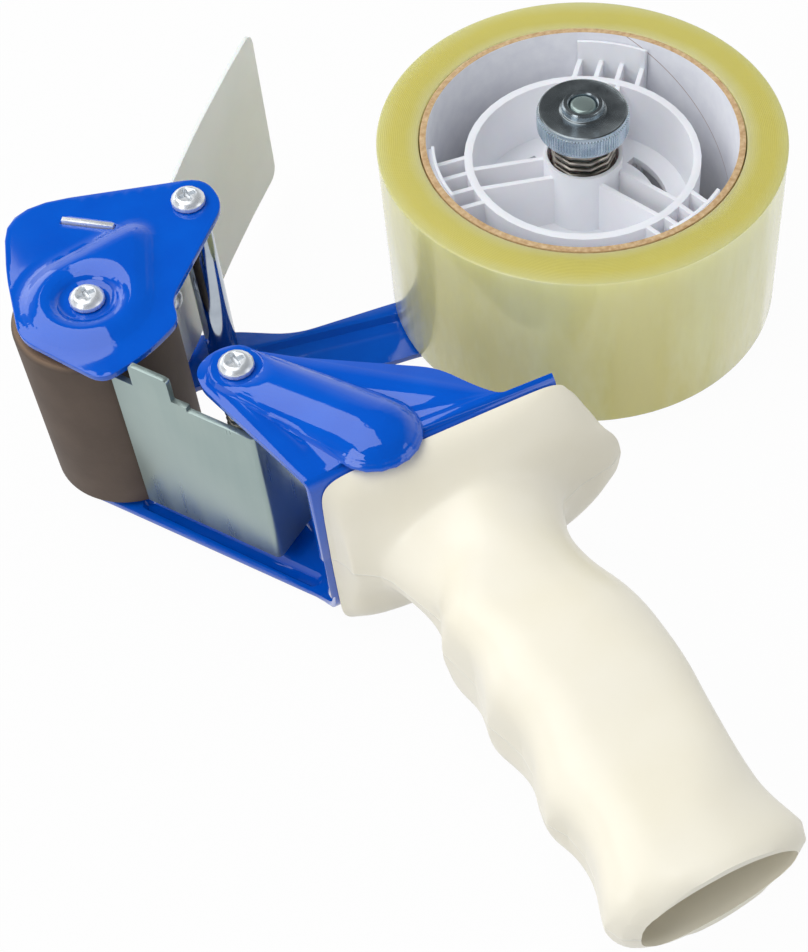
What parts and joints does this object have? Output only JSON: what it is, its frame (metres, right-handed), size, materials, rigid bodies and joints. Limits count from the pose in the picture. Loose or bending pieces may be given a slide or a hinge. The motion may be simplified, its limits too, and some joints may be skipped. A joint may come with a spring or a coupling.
{
  "type": "hand tape dispenser",
  "caption": "Hand-held packing tape dispenser: blue pressed steel frame, rubber roller, toothed knife, braked white hub with a roll of clear tape, cream pistol grip.",
  "frame": {"origin": "Centre of the flat head of the hub stud, on its outer face, which the dispenser rests on when it lies on its side.", "axes": "+Z runs along the hub's axis from the stud head to the tension nut. +Y points from the grip up to the tape, as held in use. +X points from the roller back to the roll of tape."},
  "size_m": [0.1932, 0.2569, 0.0641],
  "materials": {
    "blue_paint": "gloss enamel",
    "zinc": "zinc plated, satin",
    "chrome": "plated",
    "dark_steel": "burnished",
    "roller_rubber": "matt",
    "white_plastic": "moulded",
    "knife_steel": "ground",
    "flap_plastic": "satin",
    "fibre": "pressed fibre",
    "kraft_card": "wound kraft card",
    "clear_tape": "wound clear film, straw tint",
    "cream_plastic": "moulded, satin"
  },
  "bodies": {
    "frame": {"side_frame": "blue_paint", "front_side_plate": "blue_paint", "roller_shaft": "chrome", "guide_rod": "chrome", "guard_pivot_rod": "chrome", "roller_screw_near": "zinc", "rod_screw_near": "zinc", "pivot_screw_near": "zinc", "roller_screw_far": "zinc", "rod_screw_far": "zinc", "pivot_screw_far": "zinc", "knife_plate": "zinc", "knife": "knife_steel", "knife_rivet_1": "zinc", "knife_rivet_2": "zinc", "flap_rivet_1": "zinc", "flap_rivet_2": "zinc", "hub_stud": "zinc", "hub_lock_nut": "zinc", "hub_washer": "fibre", "handle_half_near": "cream_plastic", "handle_half_far": "cream_plastic", "handle_bolt_front": "zinc", "handle_bolt_rear": "zinc"},
    "roller": {"roller_sleeve": "roller_rubber", "roller_core": "white_plastic"},
    "guard": {"front_guard": "zinc", "guard_spring": "dark_steel"},
    "flap": {"tape_flap": "flap_plastic"},
    "hub": {"tape_hub": "white_plastic", "tension_spring": "dark_steel"},
    "roll": {"tape_core": "kraft_card", "tape_roll": "clear_tape"},
    "spring_seat": {"spring_washer": "zinc"},
    "nut": {"tension_nut": "dark_steel"}
  },
  "joints": [
    {"name": "roller_spin", "type": "hinge", "parent": "frame", "child": "roller", "pos_m": [-0.125, 0.006, 0.03], "axis": [0, 0, 1], "continuous": true},
    {"name": "guard_swing", "type": "hinge", "parent": "frame", "child": "guard", "pos_m": [-0.1047, -0.0298, 0.03], "axis": [0, 0, 1], "range_deg": [0, 28], "stiffness_Nm_per_rad": 0.08, "springref_deg": -17.19},
    {"name": "flap_flex", "type": "hinge", "parent": "frame", "child": "flap", "pos_m": [-0.10127, 0.02661, 0.03], "axis": [0, 0, 1], "range_deg": [-8, 8], "stiffness_Nm_per_rad": 0.3},
    {"name": "hub_spin", "type": "hinge", "parent": "frame", "child": "hub", "pos_m": [0, 0, 0.03], "axis": [0, 0, 1], "continuous": true},
    {"name": "roll_load", "type": "slide", "parent": "hub", "child": "roll", "axis": [0, 0, 1], "range_m": [0, 0.055]},
    {"name": "spring_press", "type": "slide", "parent": "frame", "child": "spring_seat", "axis": [0, 0, 1], "range_m": [-0.0019, 0.00095], "deforming": ["tension_spring"]},
    {"name": "nut_turn", "type": "hinge", "parent": "spring_seat", "child": "nut", "pos_m": [0, 0, 0.059], "axis": [0, 0, 1], "range_deg": [-700, 350]}
  ],
  "couplings": [
    {"joint": "nut_turn", "follows": "spring_press", "rad_per_m": 6283.2}
  ]
}
